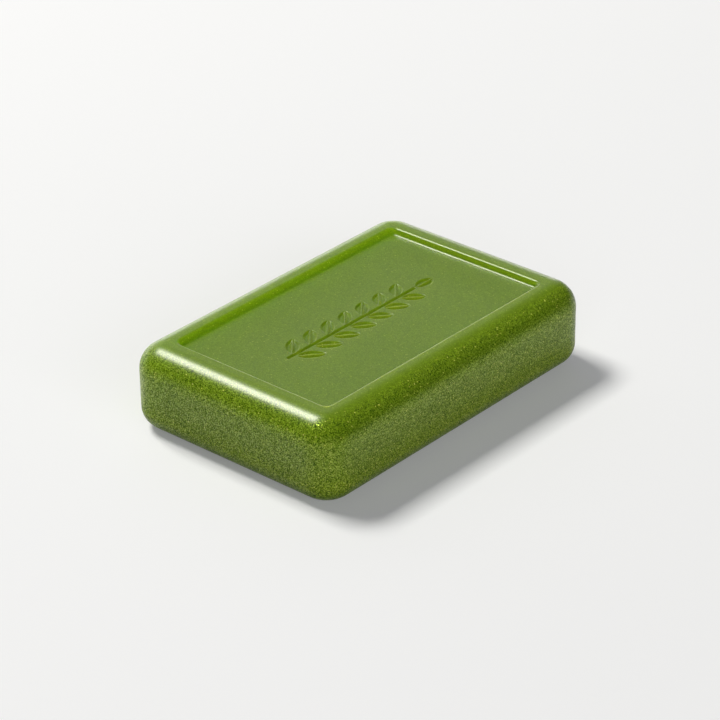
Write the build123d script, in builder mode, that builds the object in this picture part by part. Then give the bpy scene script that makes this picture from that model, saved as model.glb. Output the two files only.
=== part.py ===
from build123d import *
from math import cos, radians, sin, tan
import os

# Bar of soap: one block pressed in a two-part die. Its edges are rolled, its top has a sunken panel
# with leaning walls, and a leaf sprig is pressed into the panel's floor.
# Sizes are in millimetres and angles in degrees. The origin is the middle of the flat underside,
# +X runs along the bar and +Z points up.

# The block
bar_length = 87.0
bar_width = 58.0
bar_height = 19.8
top_round = 6.0  # the sides roll over into the top face
bottom_round = 5.0  # the sides roll under into the underside
corner_ease = 1.0  # how much rounder the upright corners are than the larger of the two rolls

# The sunken panel
end_land = 1.8  # flat rim between the rolled edge and the panel, at the bar's two ends
side_land = 1.3  # the same rim along the bar's two long sides
panel_depth = 1.4
panel_draft = 24.0  # lean of the panel's wall, so that the die lets go
panel_corner_ease = 0.4  # how much rounder the floor's corners are than the roll at its foot
rim_round = 0.75  # the wall rolls over into the top face
foot_round = 0.85  # the wall rolls out into the panel's floor
wall_flat_share = 0.04  # the least part of the wall that stays flat between the two rolls

# The leaf sprig
sprig_margin = 11.8  # bare panel before the foot of the stem and after the last leaf
stem_width = 0.8
stem_foot = 2.4  # bare stem before the first pair of leaves
leaf_pitch = 5.6  # the least step from one pair of leaves to the next
leaf_lean = 40.0  # angle between a leaf and the stem
leaf_length = 6.0  # of the first pair
last_leaf_length = 5.2  # of the single leaf at the tip, and about that of the last pair
leaf_land = 0.7  # between a leaf and the next one on the same side
root_land = 0.45  # between the stem and each leaf
vein_width = 0.45  # ridge left standing along the middle of a leaf
mark_depth = 0.45
mark_draft = 20.0  # lean of the walls of the stem and the leaves

# Sizes that follow from those above
corner_radius = max(top_round, bottom_round) + corner_ease
panel_length = bar_length - 2 * (top_round + end_land)
panel_width = bar_width - 2 * (top_round + side_land)
panel_lean = panel_depth * tan(radians(panel_draft))
wall_slope = panel_depth / cos(radians(panel_draft))
roll_reach = tan(radians(90 - panel_draft) / 2)
roll_limit = wall_slope * (1 - wall_flat_share) / roll_reach / 2
rim_roll = min(rim_round, roll_limit)
foot_roll = min(foot_round, roll_limit)
panel_corner = foot_roll + panel_corner_ease + panel_lean
floor_level = bar_height - panel_depth
stem_start = sprig_margin - panel_length / 2
sprig_end = panel_length / 2 - sprig_margin
last_leaf_root = sprig_end - last_leaf_length
stem_end = last_leaf_root - root_land
first_pair = stem_start + stem_foot
leaf_pairs = max(1, int((stem_end - first_pair) / leaf_pitch))
pair_step = (stem_end - first_pair) / leaf_pairs
leaf_width = leaf_pitch * sin(radians(leaf_lean)) - leaf_land
leaf_root = stem_width / 2 + root_land


class SplitLeaf(BaseSketchObject):
    """A pointed leaf along +X with its foot at the origin, split in two by a standing vein."""

    def __init__(self, length: float, mode: Mode = Mode.ADD):
        with BuildSketch() as leaf:
            with BuildLine():
                foot = (0, vein_width / 2)
                belly = (length / 2, leaf_width / 2)
                tip = (length, vein_width / 2)
                ThreePointArc(foot, belly, tip)
                Line(tip, foot)
            make_face()
            mirror(about=Plane.XZ)
        super().__init__(obj=leaf.sketch, rotation=0, align=None, mode=mode)


with BuildPart() as soap_bar:
    # The block and its rolled edges
    with BuildSketch():
        RectangleRounded(bar_length, bar_width, corner_radius)
    extrude(amount=bar_height)
    fillet(soap_bar.edges().group_by(Axis.Z)[-1], top_round)
    fillet(soap_bar.edges().group_by(Axis.Z)[0], bottom_round)

    # The sunken panel, with its wall rolled into the floor and the top face
    with BuildSketch(Plane.XY.offset(bar_height)):
        RectangleRounded(panel_length, panel_width, panel_corner)
    extrude(amount=-panel_depth, taper=panel_draft, mode=Mode.SUBTRACT)
    level_faces = soap_bar.faces().filter_by(Axis.Z).sort_by(Axis.Z)
    fillet(level_faces[-2].outer_wire().edges(), foot_roll)
    level_faces = soap_bar.faces().filter_by(Axis.Z).sort_by(Axis.Z)
    fillet(level_faces[-1].inner_wires().edges(), rim_roll)

    # The sprig: a stem, pairs of split leaves that get shorter along it, and one leaf at its tip
    with BuildSketch(Plane.XY.offset(floor_level)):
        with Locations(((stem_start + stem_end) / 2, 0)):
            SlotOverall(stem_end - stem_start, stem_width)
        for pair in range(leaf_pairs):
            root_x = first_pair + pair * pair_step
            length = leaf_length + (last_leaf_length - leaf_length) * pair / leaf_pairs
            for side in (1, -1):
                with Locations(Location((root_x, side * leaf_root), side * leaf_lean)):
                    SplitLeaf(length)
        with Locations((last_leaf_root, 0)):
            SplitLeaf(last_leaf_length)
    extrude(amount=-mark_depth, taper=mark_draft, mode=Mode.SUBTRACT)

soap_bar.part.label = "soap_bar"

os.makedirs("parts", exist_ok=True)
export_step(soap_bar.part, "parts/soap_bar.step")
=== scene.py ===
"""Looks, light and camera for a pressed bar of glitter soap.

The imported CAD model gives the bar's box and its place. The bar shown here is the same form worked out as a
finer surface, with the soft edges that pressed soap has. All sizes are in metres.
"""

import logging
import math
from dataclasses import dataclass
from enum import Enum
from typing import NamedTuple

import bpy
import numpy as np
from mathutils import Matrix, Vector


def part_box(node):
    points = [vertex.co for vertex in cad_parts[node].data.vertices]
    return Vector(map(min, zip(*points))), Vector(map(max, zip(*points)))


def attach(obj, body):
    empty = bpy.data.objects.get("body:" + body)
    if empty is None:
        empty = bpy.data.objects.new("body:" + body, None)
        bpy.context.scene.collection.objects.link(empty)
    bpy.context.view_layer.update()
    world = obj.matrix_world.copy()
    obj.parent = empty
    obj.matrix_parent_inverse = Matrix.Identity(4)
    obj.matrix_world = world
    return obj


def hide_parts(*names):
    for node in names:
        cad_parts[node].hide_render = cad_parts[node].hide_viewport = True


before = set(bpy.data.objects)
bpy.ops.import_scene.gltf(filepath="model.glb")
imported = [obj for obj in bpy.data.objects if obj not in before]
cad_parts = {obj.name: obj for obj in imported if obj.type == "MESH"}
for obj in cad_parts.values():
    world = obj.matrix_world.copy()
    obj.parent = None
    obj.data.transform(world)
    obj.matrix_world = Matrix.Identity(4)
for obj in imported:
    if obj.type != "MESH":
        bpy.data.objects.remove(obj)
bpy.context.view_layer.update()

MM = 0.001
BAR_NODE = "soap_bar"
ROOT_BODY = "root"

log = logging.getLogger("soap")


class Colour(Enum):
    """Named colours of the set, as linear red, green and blue."""

    DEEP_GREEN = (0.03, 0.07, 0.001)
    LIT_GREEN = (0.247, 0.395, 0.006)
    GOLD = (0.47, 0.58, 0.09)
    # painted glint: the bright pale gold of the sparkle dots
    PAINTED_GLINT_GOLD = (0.9, 0.92, 0.2)
    PAPER_WHITE = (0.905, 0.906, 0.99)
    PAPER_SHADE = (0.25, 0.25, 0.25)
    WARM_LIGHT = (1.0, 0.995, 0.87)
    PURE_WHITE = (1.0, 1.0, 1.0)

    @property
    def rgba(self) -> tuple[float, float, float, float]:
        """The colour with full opacity, as a shader socket takes it."""
        return (*self.value, 1.0)


class Graph:
    """Adds and joins the nodes of one shader tree."""

    def __init__(self, tree: bpy.types.NodeTree) -> None:
        """Empties a tree, ready for new nodes.

        Args:
            tree: The shader tree of a material or of the world.
        """
        self.tree = tree
        tree.nodes.clear()

    def add(self, kind: str, inputs: dict | None = None, **settings: object) -> bpy.types.Node:
        """Adds a node, sets its options and fills its inputs.

        Args:
            kind: The node's type, without the ShaderNode in front.
            inputs: What goes into each input, by name or number: a value, or another node's output.
            settings: The node's own options.

        Returns:
            The new node.
        """
        node = self.tree.nodes.new("ShaderNode" + kind)
        for name, value in settings.items():
            setattr(node, name, value)
        for name, value in (inputs or {}).items():
            self.feed(node.inputs[name], value)
        return node

    def feed(self, socket: bpy.types.NodeSocket, value: object) -> None:
        """Joins an output to a socket, or sets the socket's own value.

        Args:
            socket: The input that is fed.
            value: Another node's output, or a plain value.
        """
        if isinstance(value, bpy.types.NodeSocket):
            self.tree.links.new(value, socket)
        else:
            socket.default_value = value

    def math(self, operation: str, *values: object, clamp: bool = False) -> bpy.types.NodeSocket:
        """One sum on one to three numbers.

        Args:
            operation: The Math node's operation, such as MULTIPLY.
            values: The numbers or outputs that go in.
            clamp: Whether the result is held between 0 and 1.

        Returns:
            The result's output socket.
        """
        node = self.add("Math", dict(enumerate(values)), operation=operation, use_clamp=clamp)
        return node.outputs[0]

    def blend(self, factor: object, first: object, second: object) -> bpy.types.NodeSocket:
        """Mixes two colours.

        Args:
            factor: 0 gives the first colour and 1 the second.
            first: A colour or a colour output.
            second: A colour or a colour output.

        Returns:
            The mixed colour's output socket.
        """
        node = self.add("Mix", {0: factor, 6: first, 7: second}, data_type="RGBA")
        return node.outputs[2]

    def cells(self, place: bpy.types.NodeSocket, pitch: float) -> bpy.types.Node:
        """Random cells of one size, as a Voronoi texture with a colour and a distance for each."""
        return self.add("TexVoronoi", {"Vector": place, "Scale": 1.0 / pitch})

    def rise(self, value: object, low: float, high: float, top: float = 1.0) -> bpy.types.NodeSocket:
        """A smooth step from 0 to a top value.

        Args:
            value: The number that is read.
            low: Where the step starts. It may be above high, for a step that falls.
            high: Where the step ends.
            top: The value past the step.

        Returns:
            The step's output socket.
        """
        inputs = {0: value, 1: low, 2: high, 3: 0.0, 4: top}
        return self.add("MapRange", inputs, interpolation_type="SMOOTHSTEP").outputs[0]


class Regions(NamedTuple):
    """Masks over the bar, each a shader output between 0 and 1."""

    outer: bpy.types.NodeSocket
    side: bpy.types.NodeSocket
    upright: bpy.types.NodeSocket
    foot: bpy.types.NodeSocket
    seen: bpy.types.NodeSocket
    grainy: bpy.types.NodeSocket


@dataclass(frozen=True)
class GlitterSoap:
    """Satin, slightly see-through green soap with fine gold flakes under its surface.

    The bar's surface is split into three: the panel, where the grain is faint and the soap glows most, the
    land and the rolls round it, and the sides, where the grain is strong and the satin haze is thin.
    """

    # Patterns, as the size of one grain of each
    flake_pitch: float = 0.17 * MM
    sparkle_pitch: float = 0.9 * MM
    ripple_pitch: float = 0.3 * MM
    cloud_pitch: float = 16.0 * MM

    # Where each region starts and ends: along the surface, by the upward lean of the surface, and by height
    rim_fade: float = 0.8 * MM
    grain_lean: tuple[float, float] = (1.0, 0.8)
    side_lean: tuple[float, float] = (0.95, 0.5)
    upright_lean: tuple[float, float] = (0.6, 0.1)
    foot_height: tuple[float, float] = (10.0 * MM, 4.0 * MM)
    panel_grain: float = 0.26

    # Colour: how far the grain mixes deep and lit green, and how far flakes and sparkles turn it gold. The
    # upright sides are painted lighter and more golden, a painted light for the light falling on them, and
    # the pale gold sparkles are painted glints
    mottle: float = 1.15
    mottle_middle: float = 0.46
    # painted light: how far the upright sides' green is moved towards lit green
    upright_painted_light: float = 0.11
    cloudiness: float = 0.12
    flake_share: float = 0.6
    gilding: float = 0.25
    # partly painted light: the extra gold on the upright sides also lightens them, standing in for light
    # falling on them
    upright_gold_and_painted_light: float = 0.55
    sparkle_chance: tuple[float, float] = (0.5, 0.7)
    sparkle_reach: tuple[float, float] = (0.2, 0.1)
    side_dulling: float = 0.3

    # Shine
    glint_share: float = 0.25
    glint: float = 0.3
    flake_tilt: float = 0.55
    ripple_height: float = 0.007 * MM
    roughness: float = 0.42
    flake_polish: float = 0.15
    haze: float = 0.8
    side_haze: float = 0.36
    foot_haze: float = 0.05
    haze_roughness: float = 0.28

    # Light that enters the soap
    glow: float = 0.65
    side_glow: float = 0.3
    glow_depth: float = 60.0 * MM

    def regions(self, graph: Graph, where: bpy.types.Node, panel_half_x: float,
                panel_half_y: float) -> Regions:
        """Works out the masks from each point's place on the bar and the way its surface faces.

        Args:
            graph: The material's graph.
            where: The texture coordinate node.
            panel_half_x: Half the panel's length.
            panel_half_y: Half its width.

        Returns:
            The masks.
        """
        spot = graph.add("SeparateXYZ", {0: where.outputs["Object"]})
        past_x = graph.math("SUBTRACT", graph.math("ABSOLUTE", spot.outputs["X"]), panel_half_x)
        past_y = graph.math("SUBTRACT", graph.math("ABSOLUTE", spot.outputs["Y"]), panel_half_y)
        outer = graph.rise(graph.math("MAXIMUM", past_x, past_y), 0.0, self.rim_fade)
        lift = graph.add("SeparateXYZ", {0: where.outputs["Normal"]}).outputs["Z"]
        level = graph.math("ABSOLUTE", lift)
        grainy = graph.math("MULTIPLY", outer, graph.rise(level, *self.grain_lean))
        return Regions(
            outer=outer,
            side=graph.math("MULTIPLY", outer, graph.rise(level, *self.side_lean)),
            upright=graph.math("MULTIPLY", outer, graph.rise(level, *self.upright_lean)),
            foot=graph.rise(spot.outputs["Z"], *self.foot_height),
            seen=graph.math("MULTIPLY_ADD", grainy, 1.0 - self.panel_grain, self.panel_grain),
            grainy=grainy)

    def sparkle(self, graph: Graph, place: bpy.types.NodeSocket, region: Regions) -> bpy.types.NodeSocket:
        """Works out the few flakes that stand out: dots about the middles of some large random cells. They
        are real gold flakes painted bright pale gold, a painted glint for flakes catching the lamps.

        Args:
            graph: The material's graph.
            place: The place on the bar.
            region: The masks.

        Returns:
            How much of each point is sparkle, from 0 to 1.
        """
        cells = graph.cells(place, self.sparkle_pitch)
        chance = graph.add("SeparateColor", {0: cells.outputs["Color"]}).outputs[1]
        dot = graph.math("MULTIPLY", graph.rise(cells.outputs["Distance"], *self.sparkle_reach),
                         graph.rise(chance, *self.sparkle_chance))
        clear = graph.math("MULTIPLY_ADD", region.side, -self.side_dulling, region.seen)
        return graph.math("MULTIPLY", dot, clear)

    def colour(self, graph: Graph, place: bpy.types.NodeSocket, chance: bpy.types.NodeSocket,
               flake: bpy.types.NodeSocket, region: Regions) -> bpy.types.NodeSocket:
        """Mixes the soap's colour.

        The grain's random number, less a half, times the mottle, blends deep green into lit green. On the
        upright sides the blend is moved towards lit green, a painted light that lightens them. Soft clouds
        and then the gold of the flakes and of the sparkles go over it. The gold is stronger on the upright
        sides, partly real flakes and partly painted light, and the pale gold sparkles are painted glints of
        flakes catching the lamps.

        Args:
            graph: The material's graph.
            place: The place on the bar.
            chance: The grain's random number.
            flake: How much of each point is flake.
            region: The masks.

        Returns:
            The colour.
        """
        spread = graph.math("MULTIPLY", region.seen, self.mottle)
        # painted light: the upright sides are painted lighter green, standing in for the light falling on
        # them
        middle = graph.math("MULTIPLY_ADD", region.upright, self.upright_painted_light, self.mottle_middle)
        lit = graph.math("MULTIPLY_ADD", graph.math("SUBTRACT", chance, 0.5), spread, middle)
        green = graph.blend(lit, Colour.DEEP_GREEN.rgba, Colour.LIT_GREEN.rgba)
        cloud = graph.add("TexNoise", {"Vector": place, "Scale": 1.0 / self.cloud_pitch, "Detail": 2.0})
        clouding = graph.math("MULTIPLY", cloud.outputs[0], self.cloudiness)
        green = graph.blend(clouding, green, Colour.LIT_GREEN.rgba)
        # gold flakes, plus more gold on the upright sides, which is partly painted light that lightens them
        gilding = graph.math("MULTIPLY_ADD", region.upright, self.upright_gold_and_painted_light, self.gilding)
        golden = graph.blend(graph.math("MULTIPLY", flake, gilding), green, Colour.GOLD.rgba)
        # painted glint: pale gold sparkle dots stand in for flakes catching the lamps
        return graph.blend(self.sparkle(graph, place, region), golden, Colour.PAINTED_GLINT_GOLD.rgba)

    def facing(self, graph: Graph, ripple: bpy.types.Node, flakes: bpy.types.Node,
               flake: bpy.types.NodeSocket) -> bpy.types.NodeSocket:
        """Tilts the surface a little, another way in each flake.

        Args:
            graph: The material's graph.
            ripple: The bump node of the fine ripple.
            flakes: The random cells of the flakes.
            flake: How much of each point is flake.

        Returns:
            The direction that the surface faces.
        """
        middle = (0.5, 0.5, 0.5)
        lean = graph.add("VectorMath", {0: flakes.outputs["Color"], 1: middle}, operation="SUBTRACT")
        amount = graph.math("MULTIPLY", flake, self.flake_tilt)
        tilt = graph.add("VectorMath", {0: lean.outputs[0], "Scale": amount}, operation="SCALE")
        tilted = graph.add("VectorMath", {0: ripple.outputs[0], 1: tilt.outputs[0]}, operation="ADD")
        return graph.add("VectorMath", {0: tilted.outputs[0]}, operation="NORMALIZE").outputs[0]

    def satin(self, graph: Graph, chance: bpy.types.NodeSocket, region: Regions) -> bpy.types.NodeSocket:
        """Works out the weight of the satin haze.

        It is full on top, thin and speckled on the sides, and nearly none at the foot.

        Args:
            graph: The material's graph.
            chance: The grain's random number, which speckles the haze on the sides.
            region: The masks.

        Returns:
            The haze's weight.
        """
        weight = graph.math("MULTIPLY_ADD", region.side, self.side_haze - self.haze, self.haze)
        weight = graph.math("MULTIPLY_ADD", region.foot, self.foot_haze - self.side_haze, weight)
        speckle = graph.math("MULTIPLY_ADD", graph.math("SUBTRACT", chance, 0.5), region.side, 0.5)
        return graph.math("MULTIPLY", weight, graph.math("MULTIPLY", speckle, 2.0))

    def material(self, panel_half_x: float, panel_half_y: float) -> bpy.types.Material:
        """Makes the soap's material.

        One random number for each fine cell drives the grain's colour, glint and haze together.

        Args:
            panel_half_x: Half the length of the sunken panel, inside which the grain is faint.
            panel_half_y: Half its width.

        Returns:
            A material whose patterns are fixed to the bar and whose grain shows most on its outer sides.
        """
        soap = bpy.data.materials.new("glitter_soap")
        soap.use_nodes = True
        graph = Graph(soap.node_tree)
        where = graph.add("TexCoord")
        place = where.outputs["Object"]
        region = self.regions(graph, where, panel_half_x, panel_half_y)

        flakes = graph.cells(place, self.flake_pitch)
        chance = graph.add("SeparateColor", {0: flakes.outputs["Color"]}).outputs[1]
        flake = graph.math("MULTIPLY", graph.rise(chance, 1.0 - self.flake_share, 1.0), region.seen)
        glint = graph.rise(chance, 1.0 - self.glint_share, 1.0, self.glint)
        grain = graph.add("TexNoise", {"Vector": place, "Scale": 1.0 / self.ripple_pitch, "Detail": 1.0})
        ripple = graph.add("Bump", {"Strength": 1.0, "Distance": self.ripple_height,
                                    "Height": grain.outputs[0]})
        glow = graph.math("MULTIPLY_ADD", region.outer, self.side_glow - self.glow, self.glow)
        skin = graph.add("BsdfPrincipled", {
            "Base Color": self.colour(graph, place, chance, flake, region),
            "Metallic": graph.math("MULTIPLY", glint, region.grainy),
            "Roughness": graph.math("MULTIPLY_ADD", flake, -self.flake_polish, self.roughness),
            "IOR": 1.48,
            "Specular IOR Level": 0.1,
            "Normal": self.facing(graph, ripple, flakes, flake),
            "Subsurface Weight": glow,
            "Subsurface Radius": (0.85, 1.0, 0.3),
            "Subsurface Anisotropy": 0.6,
            "Subsurface Scale": self.glow_depth,
            "Coat Weight": self.satin(graph, chance, region),
            "Coat Roughness": self.haze_roughness,
            "Coat IOR": 1.5,
            "Coat Normal": ripple.outputs[0],
        })
        graph.add("OutputMaterial", {"Surface": skin.outputs[0]})
        return soap


@dataclass(frozen=True)
class PaperFloor:
    """Plain matt white paper, part of whose look to the eye is even white, so that its shadow stays soft.

    Matt surfaces see it darker than the eye does, so that it throws little light up at the bar.
    """

    evenness: float = 0.15
    roughness: float = 0.9

    def material(self) -> bpy.types.Material:
        """Makes the floor's material.

        Returns:
            A material whose colour and even white depend on the kind of ray that meets it.
        """
        paper = bpy.data.materials.new("white_paper")
        paper.use_nodes = True
        graph = Graph(paper.node_tree)
        ray = graph.add("LightPath")
        shown = graph.math("MAXIMUM", ray.outputs["Is Camera Ray"], ray.outputs["Is Glossy Ray"])
        shown = graph.math("MAXIMUM", shown, ray.outputs["Is Transmission Ray"])
        paint = graph.blend(shown, Colour.PAPER_SHADE.rgba, Colour.PAPER_WHITE.rgba)
        matt = graph.add("BsdfPrincipled", {"Base Color": paint, "Roughness": self.roughness,
                                            "Specular IOR Level": 0.0})
        even = graph.add("Emission", {"Color": Colour.PURE_WHITE.rgba, "Strength": 1.0})
        share = graph.math("MULTIPLY", shown, self.evenness)
        mixed = graph.add("MixShader", {0: share, 1: matt.outputs[0], 2: even.outputs[0]})
        graph.add("OutputMaterial", {"Surface": mixed.outputs[0]})
        return paper


class Ring(NamedTuple):
    """A stack of level rounded rectangles, one array entry for each."""

    half_x: np.ndarray
    half_y: np.ndarray
    corner: np.ndarray
    height: np.ndarray


def circle_steps(stop: float, count: int) -> np.ndarray:
    """Evenly spaced angles from 0 to stop, in radians, count steps apart."""
    return np.linspace(0.0, stop, count + 1)


@dataclass
class Outline:
    """Where the points of every rounded rectangle lie on its outline, the same for each of them.

    A point is a corner point of the inner rectangle, or a place between two of them, plus the corner radius
    along the outward direction.
    """

    long_steps: int = 24
    short_steps: int = 16
    corner_steps: int = 12

    def directions(self) -> tuple[np.ndarray, np.ndarray, np.ndarray]:
        """Works out the outline once round, against the clock seen from above.

        The side at -Y is laid out first: its points run from -1 to 1 with the outward direction (0, -1), and
        then the direction turns through a right angle about the corner. The other three sides are that side
        turned by 90, 180 and 270 degrees.

        Returns:
            The places on the inner rectangle as shares of its half sizes, the outward directions, and each
            point's side number plus the share of that side that lies before it.
        """
        places, outward, order = [], [], []
        turns = circle_steps(math.pi / 2, self.corner_steps)[1:-1]
        for side in range(4):
            along = np.linspace(-1.0, 1.0, (self.short_steps if side % 2 else self.long_steps) + 1)
            place = np.concatenate([np.stack([along, -np.ones_like(along)], 1),
                                    np.tile([1.0, -1.0], (len(turns), 1))])
            face = np.concatenate([np.tile([0.0, -1.0], (len(along), 1)),
                                   np.stack([np.sin(turns), -np.cos(turns)], 1)])
            quarter = np.array([[0, 1], [-1, 0]]) if side % 2 else np.eye(2)
            half = -1.0 if side >= 2 else 1.0
            places.append(half * place @ quarter)
            outward.append(half * face @ quarter)
            order.append(side + np.concatenate([(along + 1.0) / 2.0, np.ones(len(turns))]))
        return np.concatenate(places), np.concatenate(outward), np.concatenate(order)


def zip_loops(outer: np.ndarray, outer_at: np.ndarray, inner: np.ndarray, inner_at: np.ndarray) -> np.ndarray:
    """Fills the level strip between two closed loops of different counts with triangles.

    Both loops run against the clock. Each outer edge is joined to the last inner point that lies before the
    edge's end, and each inner edge to the last outer point that lies at or before its own end.

    Args:
        outer: Vertex numbers of the outer loop.
        outer_at: How far round each of them lies, rising from 0.
        inner: Vertex numbers of the inner loop.
        inner_at: How far round each of them lies, rising from 0.

    Returns:
        One row of three vertex numbers for each triangle.
    """
    full_turn = 4.0
    outer_end = np.append(outer_at[1:], full_turn)
    inner_end = np.append(inner_at[1:], full_turn)
    to_inner = np.searchsorted(inner_at, outer_end, side="left") - 1
    to_outer = np.searchsorted(np.append(outer_at, full_turn), inner_end, side="right") - 1
    from_outer = np.stack([outer, np.roll(outer, -1), inner[to_inner]], 1)
    from_inner = np.stack([inner, outer[to_outer % len(outer)], np.roll(inner, -1)], 1)
    return np.concatenate([from_outer, from_inner])


@dataclass
class LeafSprig:
    """The leaf sprig pressed into the panel's floor: a stem, pairs of split leaves and one at the tip."""

    panel_length: float
    margin: float = 11.8 * MM
    stem_width: float = 0.8 * MM
    stem_foot: float = 2.4 * MM
    leaf_pitch: float = 5.6 * MM
    leaf_lean: float = math.radians(40.0)
    leaf_length: float = 6.0 * MM
    last_leaf_length: float = 5.2 * MM
    leaf_land: float = 0.7 * MM
    root_land: float = 0.45 * MM
    vein_width: float = 0.45 * MM
    depth: float = 0.45 * MM
    draft: float = math.radians(20.0)
    edge_softness: float = 0.18 * MM
    grid_pitch: float = 0.085 * MM
    bare_edge: float = 0.6 * MM

    def __post_init__(self) -> None:
        """Works out where the stem and the leaves start and end along the bar."""
        self.start = self.margin - self.panel_length / 2
        self.end = self.panel_length / 2 - self.margin
        self.last_root = self.end - self.last_leaf_length
        self.stem_end = self.last_root - self.root_land
        self.first_pair = self.start + self.stem_foot
        self.pairs = max(1, int((self.stem_end - self.first_pair) / self.leaf_pitch))
        self.pair_step = (self.stem_end - self.first_pair) / self.pairs
        self.leaf_width = self.leaf_pitch * math.sin(self.leaf_lean) - self.leaf_land
        self.leaf_root = self.stem_width / 2 + self.root_land

    @property
    def half_width(self) -> float:
        """How far the longest leaf reaches from the stem's middle line."""
        return self.leaf_root + self.leaf_length * math.sin(self.leaf_lean) + self.vein_width

    def inside_stem(self, x: np.ndarray, y: np.ndarray) -> np.ndarray:
        """Distance inside the stem: half its width less the distance from its middle line.

        Args:
            x: Places along the bar.
            y: Places across it.

        Returns:
            The distance, below zero outside the stem.
        """
        half = self.stem_width / 2
        nearest = np.clip(x, self.start + half, self.stem_end - half)
        return half - np.hypot(x - nearest, y)

    def inside_leaf(self, x: np.ndarray, y: np.ndarray, length: float) -> np.ndarray:
        """Distance inside a leaf that lies along +X with its foot at the origin.

        Each half is a slice of a circle: the smaller of the distance past the vein's edge and the distance
        inside the circle through the foot, the belly and the tip.

        Args:
            x: Places along the leaf.
            y: Places across it.
            length: The leaf's length.

        Returns:
            The distance, below zero outside the leaf.
        """
        vein = self.vein_width / 2
        bow = self.leaf_width / 2 - vein
        radius = (length**2 / 4 + bow**2) / (2 * bow)
        across = np.abs(y)
        inside_circle = radius - np.hypot(x - length / 2, across - (self.leaf_width / 2 - radius))
        return np.minimum(across - vein, inside_circle)

    def pressed(self, x: np.ndarray, y: np.ndarray) -> np.ndarray:
        """Depth of the mark at places on the panel's floor.

        The largest of the distances inside the stem and the leaves goes through a smooth step as wide as the
        leaning wall and its two soft edges, times the mark's depth.

        Args:
            x: Places along the bar.
            y: Places across it.

        Returns:
            The depth, from 0 to the mark's full depth.
        """
        inside = self.inside_stem(x, y)
        inside = np.maximum(inside, self.inside_leaf(x - self.last_root, y, self.last_leaf_length))
        cos, sin = math.cos(self.leaf_lean), math.sin(self.leaf_lean)
        for pair in range(self.pairs):
            length = self.leaf_length + (self.last_leaf_length - self.leaf_length) * pair / self.pairs
            out_x = x - self.first_pair - pair * self.pair_step
            for side in (1, -1):
                out_y = side * y - self.leaf_root
                leaf = self.inside_leaf(out_x * cos + out_y * sin, out_y * cos - out_x * sin, length)
                inside = np.maximum(inside, leaf)
        wall = self.depth * math.tan(self.draft)
        share = np.clip((inside + self.edge_softness) / (wall + 2 * self.edge_softness), 0.0, 1.0)
        return self.depth * share**2 * (3.0 - 2.0 * share)

    def grid(self) -> tuple[np.ndarray, np.ndarray]:
        """The fine square grid that carries the mark.

        Returns:
            The places of its columns along the bar and of its rows across it.
        """
        low, high = self.start - self.bare_edge, self.end + self.bare_edge
        reach = self.half_width + self.bare_edge
        columns = np.linspace(low, high, round((high - low) / self.grid_pitch) + 1)
        rows = np.linspace(-reach, reach, round(2 * reach / self.grid_pitch) + 1)
        return columns, rows


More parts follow.
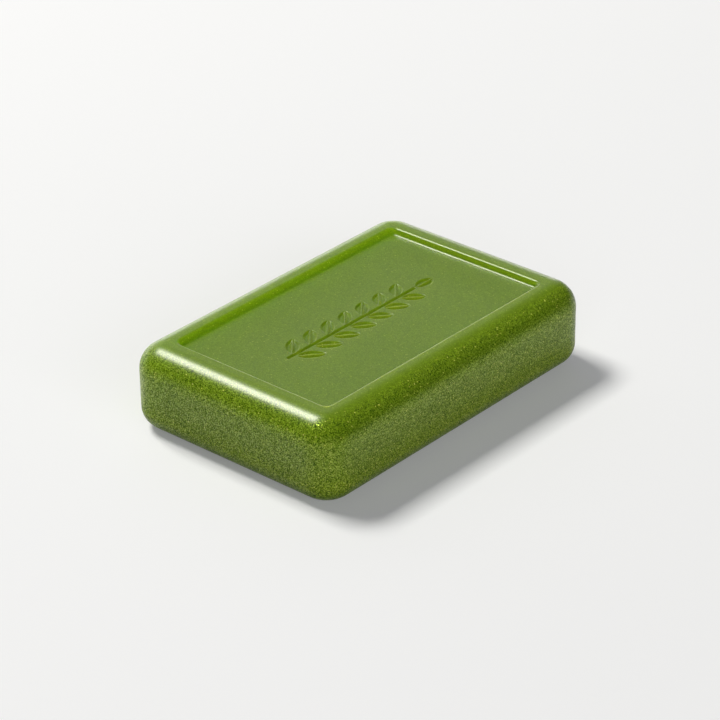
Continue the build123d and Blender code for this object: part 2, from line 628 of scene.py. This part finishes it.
@dataclass
class SoapBar:
    """The bar itself, as one closed surface from the mark in its panel round to its underside."""

    length: float
    width: float
    height: float
    top_round: float = 6.0 * MM
    bottom_round: float = 5.0 * MM
    corner_ease: float = 1.0 * MM
    end_land: float = 1.8 * MM
    side_land: float = 1.3 * MM
    panel_depth: float = 1.4 * MM
    panel_draft: float = math.radians(24.0)
    panel_corner_ease: float = 0.4 * MM
    rim_round: float = 0.75 * MM
    foot_round: float = 0.85 * MM
    roll_steps: int = 20
    edge_steps: int = 6
    wall_shares: tuple[float, ...] = (0.2, 0.5, 0.8)
    side_shares: tuple[float, ...] = (0.03, 0.35, 0.65, 0.97)
    hem: float = 0.12 * MM

    def __post_init__(self) -> None:
        """Works out the panel and the sprig in it from the bar's own sizes."""
        self.corner = max(self.top_round, self.bottom_round) + self.corner_ease
        self.panel_half_x = self.length / 2 - self.top_round - self.end_land
        self.panel_half_y = self.width / 2 - self.top_round - self.side_land
        self.panel_lean = self.panel_depth * math.tan(self.panel_draft)
        self.panel_corner = self.foot_round + self.panel_corner_ease + self.panel_lean
        self.floor_level = self.height - self.panel_depth
        self.sprig = LeafSprig(panel_length=2 * self.panel_half_x)

    def panel_rings(self) -> Ring:
        """The panel's wall, from just inside its foot to the rim.

        The foot and the rim are quarter-like rolls that turn by 90 degrees less the wall's draft, and the
        wall between them is straight. Places are measured outwards from the sharp rim that they round off.

        Returns:
            The rings, with a narrow level hem before the foot and after the rim.
        """
        turn = circle_steps(math.pi / 2 - self.panel_draft, self.edge_steps)
        reach = math.tan(turn[-1] / 2)
        foot = self.foot_round * (np.sin(turn) - reach) - self.panel_lean
        foot_height = self.floor_level + self.foot_round * (1.0 - np.cos(turn))
        rim = self.rim_round * (reach - np.sin(turn[::-1]))
        rim_height = self.height - self.rim_round * (1.0 - np.cos(turn[::-1]))
        share = np.array(self.wall_shares)
        wall = foot[-1] + (rim[0] - foot[-1]) * share
        wall_height = foot_height[-1] + (rim_height[0] - foot_height[-1]) * share
        out = np.concatenate([[foot[0] - self.hem], foot, wall, rim, [rim[-1] + self.hem]])
        height = np.concatenate([[self.floor_level], foot_height, wall_height, rim_height, [self.height]])
        return Ring(self.panel_half_x + out, self.panel_half_y + out, self.panel_corner + out, height)

    def body_rings(self) -> Ring:
        """The outside, from the start of the top roll round to the underside.

        Both rolls are quarter circles: their inset is the radius times one less the sine or cosine of the
        turn, and their height changes by the radius times the other. The upright sides lie between them.

        Returns:
            The rings, with a level hem before the first and after the last.
        """
        turn = circle_steps(math.pi / 2, self.roll_steps)
        top = self.top_round * (1.0 - np.sin(turn))
        top_height = self.height - self.top_round * (1.0 - np.cos(turn))
        under = self.bottom_round * (1.0 - np.cos(turn))
        under_height = self.bottom_round * (1.0 - np.sin(turn))
        share = np.array(self.side_shares)
        side_height = top_height[-1] + (under_height[0] - top_height[-1]) * share
        upright = np.zeros(len(share))
        inset = np.concatenate([[top[0] + self.hem], top, upright, under, [under[-1] + self.hem]])
        height = np.concatenate([[self.height], top_height, side_height, under_height, [0.0]])
        return Ring(self.length / 2 - inset, self.width / 2 - inset, self.corner - inset, height)

    def surface(self) -> tuple[np.ndarray, list]:
        """Works out the whole surface.

        The mark's grid comes first, then the rings from the panel's foot to the underside, each as many
        points, then the middle of the underside. Every face looks outwards.

        Returns:
            The vertices, one row each, and the faces as lists of vertex numbers.
        """
        columns, rows = self.sprig.grid()
        x, y = np.meshgrid(columns, rows, indexing="ij")
        marked = np.stack([x, y, self.floor_level - self.sprig.pressed(x, y)], -1).reshape(-1, 3)
        number = np.arange(x.size).reshape(x.shape)
        quads = np.stack([number[:-1, :-1], number[1:, :-1], number[1:, 1:], number[:-1, 1:]], -1)

        rings = Ring(*(np.concatenate(pair) for pair in zip(self.panel_rings(), self.body_rings())))
        place, outward, around = Outline().directions()
        inner = np.stack([rings.half_x - rings.corner, rings.half_y - rings.corner], 1)
        level = place[None] * inner[:, None] + outward[None] * rings.corner[:, None, None]
        depth = np.broadcast_to(rings.height[:, None, None], (*level.shape[:2], 1))
        shell = np.concatenate([level, depth], -1)
        ring = np.arange(shell.shape[0] * shell.shape[1]).reshape(shell.shape[:2]) + len(marked)
        after = np.roll(ring, -1, axis=1)
        bands = np.stack([ring[:-1], ring[1:], after[1:], after[:-1]], -1).reshape(-1, 4)

        border = np.concatenate([number[:-1, 0], number[-1, :-1], number[:0:-1, -1], number[0, :0:-1]])
        wide, tall = number.shape[0] - 1, number.shape[1] - 1
        border_at = np.concatenate([side + np.arange(count) / count
                                    for side, count in enumerate((wide, tall, wide, tall))])
        floor = zip_loops(ring[0], around, border, border_at)
        middle = len(marked) + ring.size
        under = np.stack([ring[-1], np.full(ring.shape[1], middle), after[-1]], 1)

        vertices = np.concatenate([marked, shell.reshape(-1, 3), [[0.0, 0.0, 0.0]]])
        faces = quads.reshape(-1, 4).tolist() + bands.tolist() + floor.tolist() + under.tolist()
        return vertices, faces

    def build(self, finish: GlitterSoap) -> bpy.types.Object:
        """Makes the bar, dresses it and lets it stand for the CAD node.

        Args:
            finish: The soap's finish.

        Returns:
            The new object.
        """
        vertices, faces = self.surface()
        mesh = bpy.data.meshes.new("soap_bar_surface")
        mesh.from_pydata(vertices.tolist(), [], faces)
        mesh.polygons.foreach_set("use_smooth", np.ones(len(mesh.polygons), bool))
        mesh.materials.append(finish.material(self.panel_half_x, self.panel_half_y))
        mesh.update()
        bar = bpy.data.objects.new("soap_bar_surface", mesh)
        bpy.context.scene.collection.objects.link(bar)
        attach(bar, ROOT_BODY)
        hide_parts(BAR_NODE)
        return bar


def direction(azimuth: float, elevation: float) -> Vector:
    """The way out to a place round the bar.

    Args:
        azimuth: Degrees round from -Y, rising towards +X.
        elevation: Degrees above the floor.

    Returns:
        A unit vector from the bar to that place.
    """
    turn, rise = math.radians(azimuth), math.radians(elevation)
    return Vector((math.sin(turn) * math.cos(rise), -math.cos(turn) * math.cos(rise), math.sin(rise)))


@dataclass(frozen=True)
class Softbox:
    """A rectangular lamp that faces the bar, sized by the angles that it fills seen from there.

    A lamp that isn't mirrored lights the bar without showing in its haze.
    """

    name: str
    azimuth: float
    elevation: float
    wide: float
    tall: float
    brightness: float
    tint: Colour = Colour.PURE_WHITE
    mirrored: bool = True
    distance: float = 2.4

    def build(self, aim: Vector) -> bpy.types.Object:
        """Hangs the lamp.

        Its power is its area times pi times the brightness wanted, because a flat lamp sends out as much as a
        matt sheet of that brightness does.

        Args:
            aim: The point that the lamp faces.

        Returns:
            The lamp's object.
        """
        lamp = bpy.data.lights.new(self.name, "AREA")
        lamp.shape = "RECTANGLE"
        lamp.size = 2 * self.distance * math.tan(math.radians(self.wide) / 2)
        lamp.size_y = 2 * self.distance * math.tan(math.radians(self.tall) / 2)
        lamp.energy = math.pi * lamp.size * lamp.size_y * self.brightness
        lamp.color = self.tint.value
        out = direction(self.azimuth, self.elevation)
        holder = bpy.data.objects.new(self.name, lamp)
        holder.matrix_world = Matrix.Translation(aim + out * self.distance) @ (
            out.to_track_quat("Z", "Y").to_matrix().to_4x4())
        holder.visible_glossy = self.mirrored
        bpy.context.scene.collection.objects.link(holder)
        return holder


@dataclass(frozen=True)
class Studio:
    """The plain set: a white paper floor, a dim even room, soft lamps behind the bar and one before it."""

    floor_radius: float = 4.0
    floor_steps: int = 64
    room_brightness: float = 0.05
    lamps: tuple[Softbox, ...] = (
        Softbox("back_strip", azimuth=183.0, elevation=55.0, wide=21.0, tall=15.0, brightness=30.5,
                tint=Colour.WARM_LIGHT),
        Softbox("back_panel", azimuth=150.0, elevation=30.0, wide=76.0, tall=26.0, brightness=0.4),
        Softbox("back_band", azimuth=155.0, elevation=4.5, wide=76.0, tall=8.0, brightness=2.9),
        Softbox("front_fill", azimuth=-33.0, elevation=15.0, wide=70.0, tall=40.0, brightness=1.85,
                mirrored=False),
    )

    def build_floor(self, finish: PaperFloor) -> bpy.types.Object:
        """Lays the round paper floor, as one level face at the height that the bar stands on.

        Args:
            finish: The paper's finish.

        Returns:
            The floor's object.
        """
        turn = circle_steps(2 * math.pi, self.floor_steps)[:-1]
        edge = np.stack([np.cos(turn), np.sin(turn), np.zeros_like(turn)], 1) * self.floor_radius
        mesh = bpy.data.meshes.new("paper_floor")
        mesh.from_pydata(edge.tolist(), [], [list(range(len(turn)))])
        mesh.materials.append(finish.material())
        floor = bpy.data.objects.new("paper_floor", mesh)
        bpy.context.scene.collection.objects.link(floor)
        return floor

    def build_room(self) -> bpy.types.World:
        """Makes the room's own light, dim and the same from all sides.

        Returns:
            The world that gives it.
        """
        room = bpy.data.worlds.new("dim_room")
        bpy.context.scene.world = room
        room.use_nodes = True
        graph = Graph(room.node_tree)
        light = graph.add("Background", {"Color": Colour.PURE_WHITE.rgba, "Strength": self.room_brightness})
        graph.add("OutputWorld", {"Surface": light.outputs[0]})
        return room

    def build(self, aim: Vector) -> None:
        """Builds the floor, the room and the lamps.

        Args:
            aim: The point that the lamps face.
        """
        self.build_floor(PaperFloor())
        self.build_room()
        for lamp in self.lamps:
            lamp.build(aim)
        log.info("studio: %d lamps, floor radius %.1f m", len(self.lamps), self.floor_radius)


@dataclass(frozen=True)
class Viewpoint:
    """The camera's place, as found from the bar's outline and the edges of its panel."""

    azimuth: float = -48.684
    elevation: float = 29.048
    roll: float = -0.739
    distance: float = 0.6441
    slide_right: float = 0.364 * MM
    slide_up: float = 1.776 * MM
    picture_width: float = 720.0
    focal_pixels: float = 2949.2
    sensor: float = 36.0

    def build(self, aim: Vector) -> bpy.types.Object:
        """Sets up the camera.

        The camera stands out from the aim along its own back direction, slid sideways and downwards so that
        the aim lies a little right of and above the middle of the picture, and is turned about its axis by
        the roll.

        Args:
            aim: The middle of the bar.

        Returns:
            The camera's object.
        """
        back = direction(self.azimuth, self.elevation)
        level = Vector((math.cos(math.radians(self.azimuth)), math.sin(math.radians(self.azimuth)), 0.0))
        upright = back.cross(level)
        roll = math.radians(self.roll)
        right = level * math.cos(roll) + upright * math.sin(roll)
        up = upright * math.cos(roll) - level * math.sin(roll)
        lens = bpy.data.cameras.new("camera")
        lens.sensor_width = self.sensor
        lens.lens = self.focal_pixels / self.picture_width * self.sensor
        lens.clip_start, lens.clip_end = 0.01, 50.0
        camera = bpy.data.objects.new("camera", lens)
        turn = Matrix((right, up, back)).transposed()
        stand = aim + back * self.distance - right * self.slide_right - up * self.slide_up
        camera.matrix_world = Matrix.Translation(stand) @ turn.to_4x4()
        bpy.context.scene.collection.objects.link(camera)
        bpy.context.scene.camera = camera
        return camera


def main() -> None:
    """Builds the bar, the set and the camera, in that order."""
    logging.basicConfig(level=logging.INFO, format="%(name)s: %(message)s")
    low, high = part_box(BAR_NODE)
    aim = (low + high) / 2
    size = high - low
    bar = SoapBar(length=size.x, width=size.y, height=size.z).build(GlitterSoap())
    log.info("%s: %d vertices, %d faces", bar.name, len(bar.data.vertices), len(bar.data.polygons))
    Studio().build(aim)
    Viewpoint().build(aim)
    bpy.context.scene.view_settings.view_transform = "Standard"


if __name__ == "__main__":
    main()
